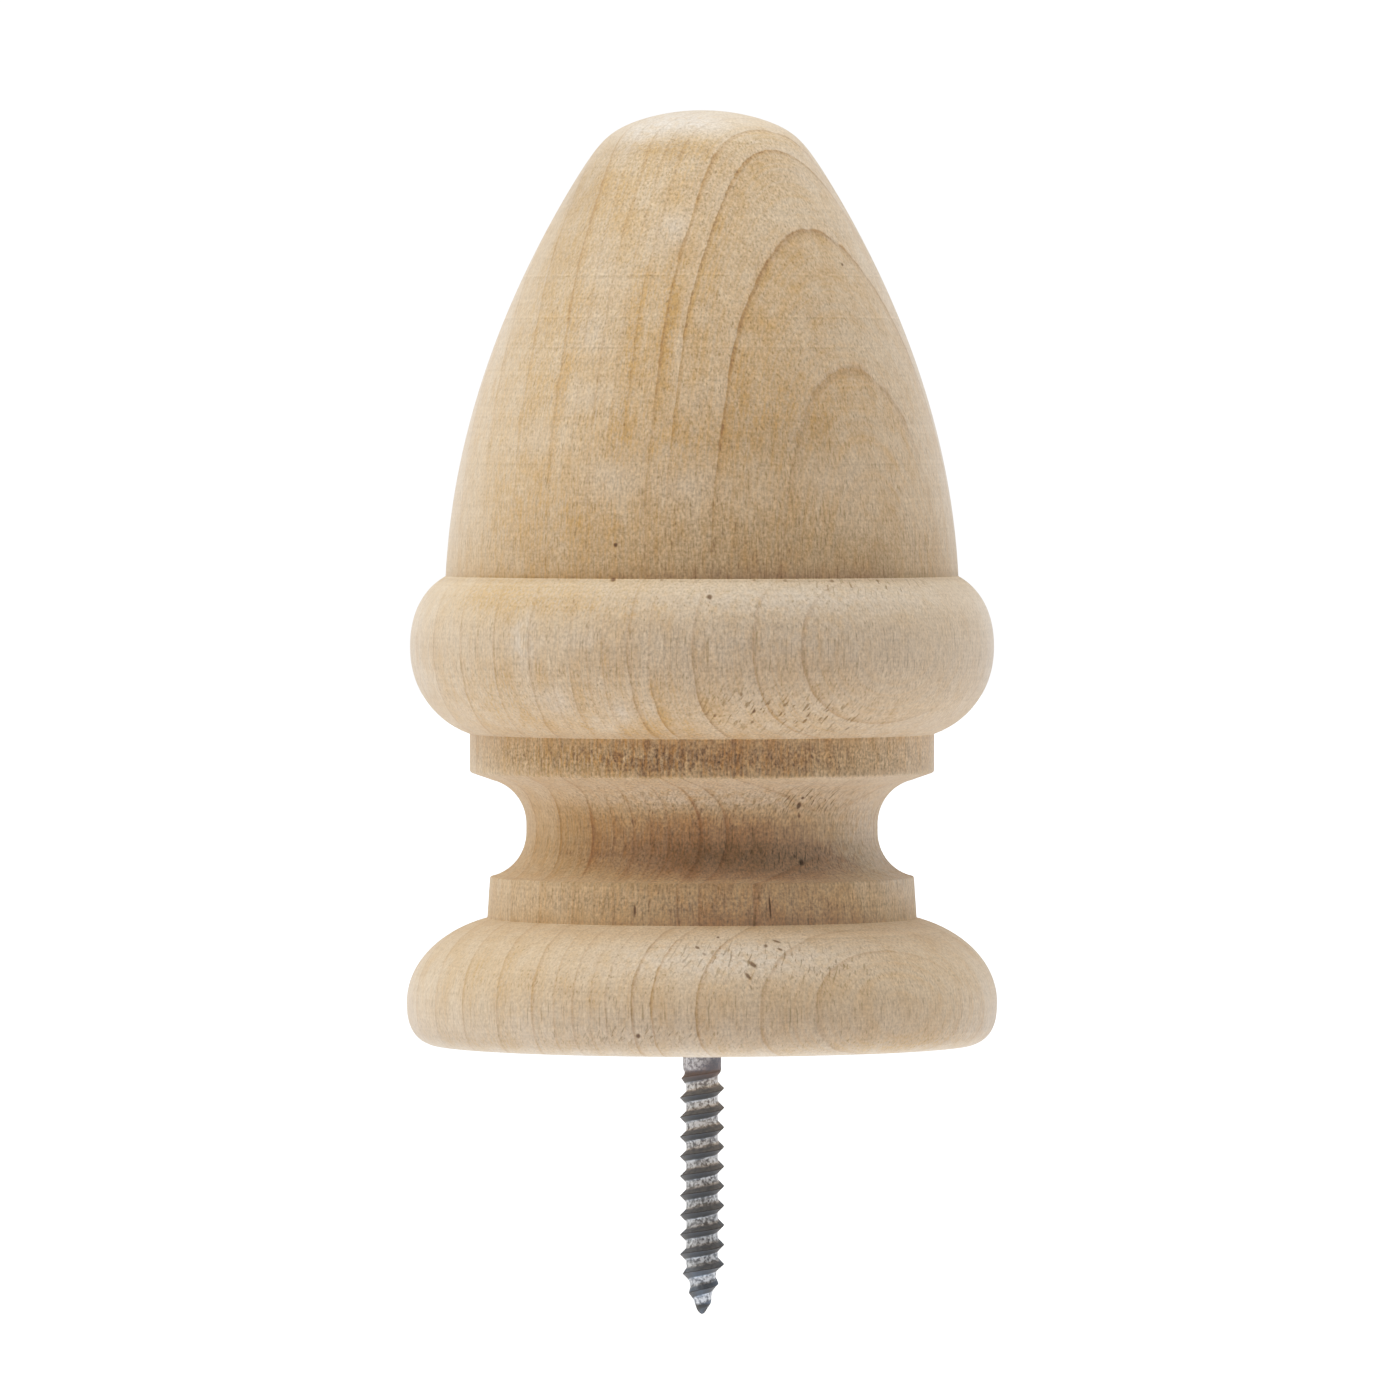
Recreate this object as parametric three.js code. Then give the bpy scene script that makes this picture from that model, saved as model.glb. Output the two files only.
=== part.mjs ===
// Acorn finial for the top of a square timber post: one turned piece of bare wood, and the dowel screw
// that stands out of its underside and goes down into the post.
// Millimetres, +Z up. The origin is the centre of the flat underside, where the finial seats on the post.
import * as THREE from "three";

// The wooden turning, from its seat upwards
const BASE_RADIUS = 44.0;
const BASE_HEIGHT = 18.8;
const BASE_WIDEST_AT = 6.3; // height of the widest line above the seat
const SEAT_EDGE_INSET = 3.4; // the flat seat ends this far inside the widest line
const LOWER_BAND_RADIUS = 32.0;
const LOWER_BAND_HEIGHT = 6.15;
const LOWER_BAND_TAPER = 0.4; // the band is this much slimmer at its top
const THROAT_RADIUS = 26.2;
const THROAT_LENGTH = 1.3; // the straight between the cove's two quarter rounds
const COVE_RADIUS = 6.7;
const UPPER_BAND_RADIUS = 34.6;
const UPPER_BAND_HEIGHT = 5.7;
const QUIRK_WIDTH = 3.3; // bevel between the cove and the upper band
const QUIRK_HEIGHT = 1.15;
const CUP_RADIUS = 43.5;
const CUP_HEIGHT = 23.5;
const CUP_WIDEST_AT = 12.9; // height of the widest line above the upper band
const NUT_RADIUS = 38.2; // at the nut's foot, where it stands in the cup
const NUT_HEIGHT = 69.3;
const NUT_FOOT_SLOPE = 0.05; // how fast the side already closes at its foot
const NUT_TIP_RADIUS = 12.1; // where the side would end at the top, before it is rounded over
const NOSE_RADIUS = 30.5; // curvature of the rounded top
const SHOULDER_SOFTNESS = 1.6; // how widely the side runs into the rounded top

// How far inside its neighbour's wall each swelling curve has its centre, and how full the curve is.
// A fullness of 2 is an ellipse, and more is squarer.
const BASE_UPPER = { tuck: 6.0, fullness: 2.0, steps: 7 };
const BASE_LOWER = { tuck: 2.6, fullness: 2.6, steps: 4 };
const CUP_UPPER = { tuck: 5.1, fullness: 2.2, steps: 6 };
const CUP_LOWER = { tuck: 4.6, fullness: 2.05, steps: 6 };
const COVE_STEPS = 5; // in each quarter round
const NUT_SIDE_STEPS = 8;
const NOSE_STEPS = 8;
const NOSE_HEIGHT = 9.0; // of the rounded top, where the rows close up
const WOOD_SIDES = 56;
const SHORTEST_STEP = 0.01; // a point nearer than this to the one before it is dropped from the outline

// The dowel screw
const THREAD_RADIUS = 3.35; // over the crests
const CORE_RADIUS = 2.38;
const SHANK_RADIUS = 2.88;
const THREAD_PITCH = 2.92;
const FLANK_LENGTH = 0.98; // along the axis, from a crest down to the core
const SCREW_EXPOSED = 40.4; // from the seat to the point
const SHANK_EXPOSED = 3.72; // plain shank below the seat, before the thread starts
const SCREW_EMBEDDED = 36.0; // length of shank inside the wood
const SHANK_RUNOUT = 1.0; // length over which the shank narrows to the core
const TIP_LENGTH = 7.5;
const TIP_CREST_POWER = 0.6; // how bluntly the crests close towards the point
const TIP_CORE_POWER = 0.5; // how bluntly the core closes towards the point
const SCREW_SIDES = 12;
const ROW_HEIGHT = THREAD_PITCH / SCREW_SIDES; // so that a crest runs along the facets' diagonals
const HOLE_CLEARANCE = 0.3; // around the shank
const HOLE_END_CLEARANCE = 1.5; // above the shank's end

const bareWood = new THREE.MeshStandardMaterial({ color: 0xd8bf98, roughness: 0.78, metalness: 0 });
const zincSteel = new THREE.MeshStandardMaterial({ color: 0x8d9296, roughness: 0.42, metalness: 0.9 });

// A swelling curve from its widest point to its end, where it meets its neighbour at a corner.
// It is part of a superellipse whose centre lies tuck inside the end's radius, and it skips its first point.
function swell(widest, end, { tuck, fullness, steps }) {
  const centreRadius = end.x - tuck;
  const halfWidth = widest.x - centreRadius;
  const endShare = Math.pow(tuck / halfWidth, fullness);
  const halfHeight = (end.y - widest.y) / Math.pow(1 - endShare, 1 / fullness);
  const lastAngle = Math.acos(Math.pow(tuck / halfWidth, fullness / 2));
  const points = [];
  for (let i = 1; i <= steps; i++) {
    const angle = (lastAngle * i) / steps;
    const out = Math.pow(Math.cos(angle), 2 / fullness);
    const along = Math.pow(Math.sin(angle), 2 / fullness);
    points.push(new THREE.Vector2(centreRadius + halfWidth * out, widest.y + halfHeight * along));
  }
  return points;
}

// The hollow between the two bands: a quarter round from the lower band's top edge in to the throat, a short
// straight, and a quarter round out again to the quirk under the upper band.
function cove(lowerEdge) {
  const centreRadius = THROAT_RADIUS + COVE_RADIUS;
  const startRadius = Math.min(lowerEdge.x, centreRadius);
  const endRadius = Math.min(UPPER_BAND_RADIUS - QUIRK_WIDTH, centreRadius);
  const startAngle = Math.acos((centreRadius - startRadius) / COVE_RADIUS);
  const endAngle = Math.acos((centreRadius - endRadius) / COVE_RADIUS);
  const lowerCentre = lowerEdge.y + COVE_RADIUS * Math.sin(startAngle);
  const arcPoint = (angle, centre) => {
    const radius = centreRadius - COVE_RADIUS * Math.cos(angle);
    return new THREE.Vector2(radius, centre + COVE_RADIUS * Math.sin(angle));
  };
  const points = [];
  for (let i = COVE_STEPS; i >= 0; i--) points.push(arcPoint((-startAngle * i) / COVE_STEPS, lowerCentre));
  for (let i = 0; i <= COVE_STEPS; i++) {
    points.push(arcPoint((endAngle * i) / COVE_STEPS, lowerCentre + THROAT_LENGTH));
  }
  return points;
}

// The nut's radius at a height above its foot. Its side closes as a parabola, its top is a paraboloid with
// the nose's curvature, and a smooth minimum of the two rounds the shoulder between them.
function nutRadius(height) {
  const share = height / NUT_HEIGHT;
  const straight = NUT_RADIUS - NUT_FOOT_SLOPE * height;
  const closing = NUT_RADIUS - NUT_FOOT_SLOPE * NUT_HEIGHT - NUT_TIP_RADIUS;
  const side = straight - closing * share * share;
  const nose = Math.sqrt(2 * NOSE_RADIUS * Math.max(NUT_HEIGHT - height, 0));
  const lesser = Math.min(side, nose);
  const excess = Math.exp(-Math.abs(side - nose) / SHOULDER_SOFTNESS);
  return Math.max(lesser - SHOULDER_SOFTNESS * Math.log1p(excess), 0);
}

// The nut's outline above its foot. The rows close up towards the apex, where the outline turns flat.
function nut(foot) {
  const points = [];
  const sideHeight = NUT_HEIGHT - NOSE_HEIGHT;
  for (let i = 1; i <= NUT_SIDE_STEPS; i++) {
    const height = (sideHeight * i) / NUT_SIDE_STEPS;
    points.push(new THREE.Vector2(nutRadius(height), foot + height));
  }
  for (let i = 1; i < NOSE_STEPS; i++) {
    const left = 1 - i / NOSE_STEPS;
    const height = NUT_HEIGHT - NOSE_HEIGHT * left * left;
    points.push(new THREE.Vector2(nutRadius(height), foot + height));
  }
  points.push(new THREE.Vector2(0, foot + NUT_HEIGHT));
  return points;
}

// A curve may start on its neighbour's corner, so a point that lies on the one before it is left out.
function withoutRepeats(points) {
  return points.filter((point, i) => i === 0 || point.distanceTo(points[i - 1]) > SHORTEST_STEP);
}

// The outline that the lathe turns, as radius and height, from the blind end of the screw's hole to the apex.
function woodOutline() {
  const holeRadius = SHANK_RADIUS + HOLE_CLEARANCE;
  const holeDepth = SCREW_EMBEDDED + HOLE_END_CLEARANCE;
  const seatEdge = new THREE.Vector2(BASE_RADIUS - SEAT_EDGE_INSET, 0);
  const baseWidest = new THREE.Vector2(BASE_RADIUS, BASE_WIDEST_AT);
  const lowerBandFoot = new THREE.Vector2(LOWER_BAND_RADIUS, BASE_HEIGHT);
  const lowerBandTop = new THREE.Vector2(LOWER_BAND_RADIUS - LOWER_BAND_TAPER, BASE_HEIGHT + LOWER_BAND_HEIGHT);
  const hollow = cove(lowerBandTop);
  const hollowTop = hollow[hollow.length - 1];
  const upperBandFoot = new THREE.Vector2(UPPER_BAND_RADIUS, hollowTop.y + QUIRK_HEIGHT);
  const upperBandTop = new THREE.Vector2(UPPER_BAND_RADIUS, upperBandFoot.y + UPPER_BAND_HEIGHT);
  const cupWidest = new THREE.Vector2(CUP_RADIUS, upperBandTop.y + CUP_WIDEST_AT);
  const nutFoot = new THREE.Vector2(NUT_RADIUS, upperBandTop.y + CUP_HEIGHT);
  const baseUnder = swell(baseWidest, seatEdge, BASE_LOWER).reverse();
  const cupUnder = swell(cupWidest, upperBandTop, CUP_LOWER).reverse();
  return withoutRepeats([
    new THREE.Vector2(0, holeDepth),
    new THREE.Vector2(holeRadius, holeDepth),
    new THREE.Vector2(holeRadius, 0),
    ...baseUnder,
    baseWidest,
    ...swell(baseWidest, lowerBandFoot, BASE_UPPER),
    lowerBandTop,
    ...hollow,
    upperBandFoot,
    ...cupUnder,
    cupWidest,
    ...swell(cupWidest, nutFoot, CUP_UPPER),
    ...nut(nutFoot.y),
  ]);
}

function woodFinial() {
  const geometry = new THREE.LatheGeometry(woodOutline(), WOOD_SIDES);
  geometry.rotateX(Math.PI / 2); // the lathe's axis is Y
  const mesh = new THREE.Mesh(geometry, bareWood);
  mesh.name = "wood_finial";
  return mesh;
}

// The screw's core and crest radii at a height. Both narrow to the point, and the shank runs out into them.
function screwRadii(z) {
  const toTip = Math.max(z + SCREW_EXPOSED, 0) / TIP_LENGTH;
  const belowShank = Math.max(-SHANK_EXPOSED - z, 0);
  const coreShare = Math.min(belowShank / SHANK_RUNOUT, 1);
  const crestShare = Math.min(belowShank / THREAD_PITCH, 1);
  const core = SHANK_RADIUS + (CORE_RADIUS - SHANK_RADIUS) * coreShare;
  const crest = SHANK_RADIUS + (THREAD_RADIUS - SHANK_RADIUS) * crestShare;
  return {
    core: core * Math.min(Math.pow(toTip, TIP_CORE_POWER), 1),
    crest: crest * Math.min(Math.pow(toTip, TIP_CREST_POWER), 1),
  };
}

// One ring of the thread. The crest climbs one row for each side that it passes, which makes a right-hand thread.
function threadRing(row) {
  const z = -SHANK_EXPOSED - row * ROW_HEIGHT;
  const { core, crest } = screwRadii(z);
  const ring = [];
  for (let side = 0; side < SCREW_SIDES; side++) {
    const step = (row + side) % SCREW_SIDES;
    const fromCrest = Math.min(step, SCREW_SIDES - step) * ROW_HEIGHT;
    const height = Math.max(1 - fromCrest / FLANK_LENGTH, 0);
    ring.push(ringPoint(core + Math.max(crest - core, 0) * height, side, z));
  }
  return ring;
}

function ringPoint(radius, side, z) {
  const angle = (2 * Math.PI * side) / SCREW_SIDES;
  return [radius * Math.cos(angle), radius * Math.sin(angle), z];
}

function shankRing(z) {
  return Array.from({ length: SCREW_SIDES }, (_, side) => ringPoint(SHANK_RADIUS, side, z));
}

function dowelScrew() {
  const rows = Math.round((SCREW_EXPOSED - SHANK_EXPOSED) / ROW_HEIGHT);
  const rings = [shankRing(SCREW_EMBEDDED)];
  for (let row = 0; row < rows; row++) rings.push(threadRing(row));
  const corners = rings.flat();
  const top = corners.push([0, 0, SCREW_EMBEDDED]) - 1;
  const point = corners.push([0, 0, -SCREW_EXPOSED]) - 1;
  const faces = [];
  for (let ring = 0; ring + 1 < rings.length; ring++) {
    for (let side = 0; side < SCREW_SIDES; side++) {
      const next = (side + 1) % SCREW_SIDES;
      const upper = ring * SCREW_SIDES;
      const lower = upper + SCREW_SIDES;
      faces.push(upper + side, lower + side, upper + next);
      faces.push(upper + next, lower + side, lower + next);
    }
  }
  const lastRing = (rings.length - 1) * SCREW_SIDES;
  for (let side = 0; side < SCREW_SIDES; side++) {
    const next = (side + 1) % SCREW_SIDES;
    faces.push(top, side, next);
    faces.push(point, lastRing + next, lastRing + side);
  }
  const geometry = new THREE.BufferGeometry();
  geometry.setAttribute("position", new THREE.Float32BufferAttribute(corners.flat(), 3));
  geometry.setIndex(faces);
  geometry.computeVertexNormals();
  const mesh = new THREE.Mesh(geometry, zincSteel);
  mesh.name = "dowel_screw";
  return mesh;
}

const acornFinial = new THREE.Group();
acornFinial.name = "acorn_finial";
acornFinial.add(woodFinial(), dowelScrew());

export default acornFinial;
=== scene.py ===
"""Looks of a turned wooden acorn finial and of the dowel screw that stands out of its underside.

The shapes are worked out in millimetres and put into the meshes in metres. The frame is the model's own: +Z
up, the origin at the middle of the flat seat, and -Y on the side that faces the viewer.
"""

import logging
import math
from collections.abc import Callable
from dataclasses import dataclass, field
from enum import Enum
from functools import reduce

import bpy
import numpy as np
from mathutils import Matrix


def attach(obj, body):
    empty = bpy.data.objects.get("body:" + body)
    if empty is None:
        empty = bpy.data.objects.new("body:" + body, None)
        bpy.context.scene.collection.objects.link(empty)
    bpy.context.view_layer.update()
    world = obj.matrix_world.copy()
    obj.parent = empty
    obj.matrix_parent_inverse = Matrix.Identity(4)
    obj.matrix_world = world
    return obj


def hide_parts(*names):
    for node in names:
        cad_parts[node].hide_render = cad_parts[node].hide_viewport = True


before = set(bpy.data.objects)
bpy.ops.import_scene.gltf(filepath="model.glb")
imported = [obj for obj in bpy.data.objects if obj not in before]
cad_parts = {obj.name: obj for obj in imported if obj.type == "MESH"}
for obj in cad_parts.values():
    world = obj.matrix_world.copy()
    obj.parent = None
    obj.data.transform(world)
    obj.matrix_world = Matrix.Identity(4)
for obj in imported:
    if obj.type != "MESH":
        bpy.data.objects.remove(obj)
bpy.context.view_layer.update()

LOG = logging.getLogger("acorn_finial")
METRES_PER_MM = 0.001
MM_PER_METRE = 1000.0
NOISE_LOW, NOISE_HIGH = 0.25, 0.75
# Where a colour mix keeps its two colours and its result, since several of its sockets share a name.
MIX_UNDER, MIX_OVER, MIX_RESULT = 6, 7, 2
# The fourth tone curve is the one for all three colours together.
COMBINED_CURVE = 3

Array = np.ndarray
Colour = tuple[float, float, float]
Triple = tuple[float, float, float]
Pair = tuple[float, float]
Numbers = tuple[float, ...]
Socket = bpy.types.NodeSocket


class Piece(Enum):
    """The two physical pieces, by the name of the solid that each one stands for."""

    WOOD = "wood_finial"
    SCREW = "dowel_screw"


class Slot(Enum):
    """The record's material slots."""

    BARE_WOOD = "bare_wood"
    ZINC_STEEL = "zinc_steel"


def linear(red: int, green: int, blue: int) -> Colour:
    """Turns a display colour into the linear colour that a shader takes.

    Args:
        red: Red, 0 to 255.
        green: Green, 0 to 255.
        blue: Blue, 0 to 255.

    Returns:
        The three linear shares, by the usual curve: a power of 2.4 above a short straight foot.
    """
    shares = np.array([red, green, blue]) / 255.0
    curved = np.where(shares <= 0.04045, shares / 12.92, ((shares + 0.055) / 1.055) ** 2.4)
    return tuple(float(share) for share in curved)


@dataclass(frozen=True)
class Noise:
    """Soft noise around 0.5.

    Attributes:
        scale: How many waves to a millimetre, along X, Y and Z.
        detail: How many finer octaves it adds.
        roughness: How strong the finer octaves are.
    """

    scale: Triple
    detail: float = 2.0
    roughness: float = 0.5


def around_axis(radius: Array, height: Array, sides: int) -> Array:
    """Carries points round the axis: x is the radius times cos(angle), and y is the radius times sin(angle).

    Args:
        radius: The radius of each ring, as rings by one, or of each point, as rings by sides.
        height: The height of each ring, as rings by one.
        sides: How many points a ring has.

    Returns:
        The points, as rings by sides by three.
    """
    angle = np.linspace(0.0, 2.0 * math.pi, sides, endpoint=False)[None, :]
    return np.stack([radius * np.cos(angle), radius * np.sin(angle), height + 0.0 * angle], axis=-1)


@dataclass
class RingSkin:
    """A closed surface made of level rings, with one point that closes it at each end.

    Attributes:
        rings: Points in millimetres, as rings by sides by three.
        first_pole: The point before the first ring.
        last_pole: The point after the last ring.
    """

    rings: Array
    first_pole: Triple
    last_pole: Triple

    def points(self) -> Array:
        """Returns every point in millimetres: the rings in order, then the two poles."""
        return np.vstack([self.rings.reshape(-1, 3), self.first_pole, self.last_pole])

    def triangles(self) -> Array:
        """Splits each cell of the grid along the diagonal that climbs to the next side.

        Returns:
            Corner numbers, three for each triangle, that turn anticlockwise seen from outside.
        """
        count, sides = self.rings.shape[:2]
        ring = np.arange(count - 1)[:, None] * sides
        side = np.arange(sides)[None, :]
        following = (side + 1) % sides
        near, near_next = ring + side, ring + following
        far, far_next = near + sides, near_next + sides
        halves = [np.stack([near, near_next, far], -1), np.stack([near_next, far_next, far], -1)]
        first, last = count * sides, count * sides + 1
        side, following = side[0], following[0]
        tail = (count - 1) * sides
        opening = np.stack([np.full(sides, first), following, side], -1)
        closing = np.stack([tail + side, tail + following, np.full(sides, last)], -1)
        return np.vstack([half.reshape(-1, 3) for half in halves] + [opening, closing])

    def mesh(self, name: str, sharp_degrees: float) -> bpy.types.Mesh:
        """Builds the mesh in metres, smooth but for its sharp corners.

        Args:
            name: The mesh's name.
            sharp_degrees: Faces that meet at more than this stay sharp.

        Returns:
            The finished mesh.
        """
        points = (self.points() * METRES_PER_MM).astype(np.float32)
        corners = self.triangles().astype(np.int32)
        mesh = bpy.data.meshes.new(name)
        mesh.vertices.add(len(points))
        mesh.vertices.foreach_set("co", points.ravel())
        mesh.loops.add(corners.size)
        mesh.loops.foreach_set("vertex_index", corners.ravel())
        mesh.polygons.add(len(corners))
        mesh.polygons.foreach_set("loop_start", np.arange(0, corners.size, 3, dtype=np.int32))
        mesh.update(calc_edges=True)
        mesh.validate()
        mesh.polygons.foreach_set("use_smooth", np.ones(len(mesh.polygons), dtype=bool))
        mesh.set_sharp_from_angle(angle=math.radians(sharp_degrees))
        return mesh


def keep_map(mesh: bpy.types.Mesh, name: str, values: Array) -> None:
    """Stores one number for each point of a mesh, under the name that the finish asks for."""
    layer = mesh.attributes.new(name, "FLOAT", "POINT")
    layer.data.foreach_set("value", values.astype(np.float32))


def stand_for(piece: Piece, mesh: bpy.types.Mesh, finish: bpy.types.Material) -> bpy.types.Object:
    """Puts a dressed mesh in the place of the solid that it stands for.

    Args:
        piece: The physical piece.
        mesh: Its fine mesh.
        finish: Its material.

    Returns:
        The new object, which rides on the one body.
    """
    mesh.materials.append(finish)
    obj = bpy.data.objects.new(f"{piece.value}_surface", mesh)
    bpy.context.scene.collection.objects.link(obj)
    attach(obj, "root")
    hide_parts(piece.value)
    LOG.info("%s: %d triangles", obj.name, len(mesh.polygons))
    return obj


class ShaderSheet:
    """Adds shader nodes to a node tree and wires them, so that a finish reads as a recipe."""

    def __init__(self, tree: bpy.types.NodeTree) -> None:
        """Starts on a node tree."""
        self.tree = tree

    def node(self, kind: str, **settings: object) -> bpy.types.Node:
        """Adds a node.

        Args:
            kind: The node's type name.
            **settings: Properties to set on it.

        Returns:
            The node.
        """
        made = self.tree.nodes.new(kind)
        for name, value in settings.items():
            setattr(made, name, value)
        return made

    def feed(self, socket: Socket, value: object) -> None:
        """Wires an output into a socket, or sets the socket to a plain value.

        Args:
            socket: The input.
            value: An output socket, a number, or a colour or vector of three.
        """
        if isinstance(value, bpy.types.NodeSocket):
            self.tree.links.new(value, socket)
        elif isinstance(value, tuple) and socket.type == "RGBA":
            socket.default_value = (*value, 1.0)
        else:
            socket.default_value = value

    def math(self, operation: str, first: object, second: object = 0.0, clamp: bool = False) -> Socket:
        """Does one sum.

        Args:
            operation: What is done with the two numbers.
            first: The first number.
            second: The second number.
            clamp: Whether the result is kept within 0 and 1.

        Returns:
            The result.
        """
        made = self.node("ShaderNodeMath", operation=operation, use_clamp=clamp)
        self.feed(made.inputs[0], first)
        self.feed(made.inputs[1], second)
        return made.outputs[0]

    def times(self, first: object, second: object) -> Socket:
        """Returns first times second."""
        return self.math("MULTIPLY", first, second)

    def less(self, first: object, second: object) -> Socket:
        """Returns first less second."""
        return self.math("SUBTRACT", first, second)

    def plus(self, *terms: object) -> Socket:
        """Returns the sum of the terms."""
        return reduce(lambda total, term: self.math("ADD", total, term), terms)

    def ramp(self, numbers: tuple[object, ...], **settings: object) -> Socket:
        """Maps a value from one span to another.

        Args:
            numbers: The value, the low and high of its span, and the results there.
            **settings: The node's properties, such as how it eases.

        Returns:
            The mapped number.
        """
        made = self.node("ShaderNodeMapRange", **settings)
        for name, given in zip(("Value", "From Min", "From Max", "To Min", "To Max"), numbers):
            self.feed(made.inputs[name], given)
        return made.outputs["Result"]

    def step(self, value: object, low: float, high: float, start: float = 0.0, end: float = 1.0) -> Socket:
        """Eases a number from start to end while value goes from low to high, which may be less than low."""
        return self.ramp((value, low, high, start, end), interpolation_type="SMOOTHSTEP")

    def span(self, noise: object, start: float, end: float) -> Socket:
        """Stretches noise, which keeps near 0.5, so that its usual lowest gives start and its highest end."""
        return self.ramp((noise, NOISE_LOW, NOISE_HIGH, start, end), clamp=False)

    def sway(self, noise: object, reach: float) -> Socket:
        """Stretches noise so that it goes as far as reach below and above 0."""
        return self.span(noise, -reach, reach)

    def vector(self, operation: str, *given: object, result: str = "Vector") -> Socket:
        """Does one operation on places.

        Args:
            operation: What is done with them.
            *given: The places.
            result: Vector where the result is a place, and Value where it is a number.

        Returns:
            The result.
        """
        made = self.node("ShaderNodeVectorMath", operation=operation)
        for socket, value in zip(made.inputs, given):
            self.feed(socket, value)
        return made.outputs[result]

    def scaled(self, place: Socket, scale: Triple) -> Socket:
        """Returns a place with each of its three numbers multiplied."""
        return self.vector("MULTIPLY", place, scale)

    def height_of(self, place: Socket) -> Socket:
        """Reads how high a place is.

        Args:
            place: The place.

        Returns:
            Its number along Z.
        """
        split = self.node("ShaderNodeSeparateXYZ")
        self.feed(split.inputs[0], place)
        return split.outputs["Z"]

    def flat_place(self, across: Socket, height: Socket) -> Socket:
        """Makes a place that has nothing along Y.

        Args:
            across: Its number along X.
            height: Its number along Z.

        Returns:
            The place.
        """
        joined = self.node("ShaderNodeCombineXYZ")
        self.feed(joined.inputs["X"], across)
        self.feed(joined.inputs["Z"], height)
        return joined.outputs[0]

    def millimetres(self) -> Socket:
        """Returns the place on the object in millimetres."""
        return self.scaled(self.node("ShaderNodeTexCoord").outputs["Object"], (MM_PER_METRE,) * 3)

    def leaned(self, place: Socket, degrees: float) -> Socket:
        """Turns a place about Y, so that what is drawn over it leans to the right of upright.

        Args:
            place: The place.
            degrees: How far it leans.

        Returns:
            The turned place.
        """
        made = self.node("ShaderNodeVectorRotate", rotation_type="Y_AXIS")
        self.feed(made.inputs["Vector"], place)
        self.feed(made.inputs["Angle"], -math.radians(degrees))
        return made.outputs[0]

    def noise(self, place: Socket, noise: Noise) -> Socket:
        """Lays a noise over a place.

        Args:
            place: Where the noise is read.
            noise: Its scale and its octaves.

        Returns:
            The noise as a number.
        """
        made = self.node("ShaderNodeTexNoise")
        self.feed(made.inputs["Vector"], self.scaled(place, noise.scale))
        self.feed(made.inputs["Scale"], 1.0)
        self.feed(made.inputs["Detail"], noise.detail)
        self.feed(made.inputs["Roughness"], noise.roughness)
        return made.outputs["Fac"]

    def attribute(self, name: str) -> Socket:
        """Returns one of the mesh's stored numbers."""
        return self.node("ShaderNodeAttribute", attribute_name=name).outputs["Fac"]

    def mix(self, share: object, under: object, over: object, blend: str = "MIX") -> Socket:
        """Lays one colour over another.

        Args:
            share: How much of the upper colour shows, 0 to 1.
            under: The lower colour.
            over: The upper colour.
            blend: How the two are combined.

        Returns:
            The combined colour.
        """
        made = self.node("ShaderNodeMix", data_type="RGBA", blend_type=blend, clamp_factor=True)
        self.feed(made.inputs[0], share)
        self.feed(made.inputs[MIX_UNDER], under)
        self.feed(made.inputs[MIX_OVER], over)
        return made.outputs[MIX_RESULT]

    def lit(self, colour: object, gain: object) -> Socket:
        """Makes a colour brighter or darker.

        Args:
            colour: The colour.
            gain: The number that it is multiplied by.

        Returns:
            The new colour.
        """
        made = self.node("ShaderNodeVectorMath", operation="SCALE")
        self.feed(made.inputs[0], colour)
        self.feed(made.inputs["Scale"], gain)
        return made.outputs[0]

    def bump(self, shader: bpy.types.Node, height: Socket, strength: float, distance: float) -> None:
        """Lays fine relief over a surface.

        Args:
            shader: The surface's shader.
            height: The relief's height, about 0 to 1.
            strength: How strongly it shows.
            distance: How many metres a height of 1 stands for.
        """
        made = self.node("ShaderNodeBump")
        set_plain(made, {"Strength": strength, "Distance": distance})
        self.feed(made.inputs["Height"], height)
        self.feed(shader.inputs["Normal"], made.outputs["Normal"])


def set_plain(shader: bpy.types.Node, values: dict[str, object]) -> None:
    """Sets sockets of a node to values that are the same all over the surface."""
    for name, value in values.items():
        shader.inputs[name].default_value = value


def new_finish(name: str) -> tuple[bpy.types.Material, ShaderSheet, bpy.types.Node]:
    """Starts a material.

    Args:
        name: The finish's name.

    Returns:
        The material, a sheet to add nodes with, and its surface shader.
    """
    material = bpy.data.materials.new(name)
    material.use_nodes = True
    shader = next(node for node in material.node_tree.nodes if node.type == "BSDF_PRINCIPLED")
    return material, ShaderSheet(material.node_tree), shader


@dataclass(frozen=True)
class Swell:
    """One half of a swelling moulding: part of a superellipse.

    Attributes:
        tuck: How far inside its end's radius the curve has its centre.
        fullness: The curve's power: 2 is an ellipse, and more is squarer.
        rows: How many points the curve gets.
    """

    tuck: float
    fullness: float
    rows: int

    def curve(self, widest: Pair, end: Pair) -> Array:
        """Runs from the widest point, which it skips, to the end.

        The radius is the centre's plus the half width times cos(angle) to the power 2 / fullness. The height
        is the widest line's plus the half height times sin(angle) to the same power.

        Args:
            widest: Radius and height of the widest point.
            end: Radius and height of the end, where the curve meets its neighbour at a corner.

        Returns:
            Radius and height of each point.
        """
        centre = end[0] - self.tuck
        half_width = widest[0] - centre
        end_share = (self.tuck / half_width) ** self.fullness
        half_height = (end[1] - widest[1]) / (1.0 - end_share) ** (1.0 / self.fullness)
        angle = np.linspace(0.0, math.acos(math.sqrt(end_share)), self.rows + 1)[1:]
        power = 2.0 / self.fullness
        radius = centre + half_width * np.cos(angle) ** power
        height = widest[1] + half_height * np.sin(angle) ** power
        return np.stack([radius, height], axis=1)


@dataclass(frozen=True)
class Ring:
    """One growth ring's dark edge.

    Attributes:
        depth: How deep in the block it lies, measured from the turning's axis towards the tree's heart.
        darkness: How dark it is, 0 to 1.
    """

    depth: float
    darkness: float


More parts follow.
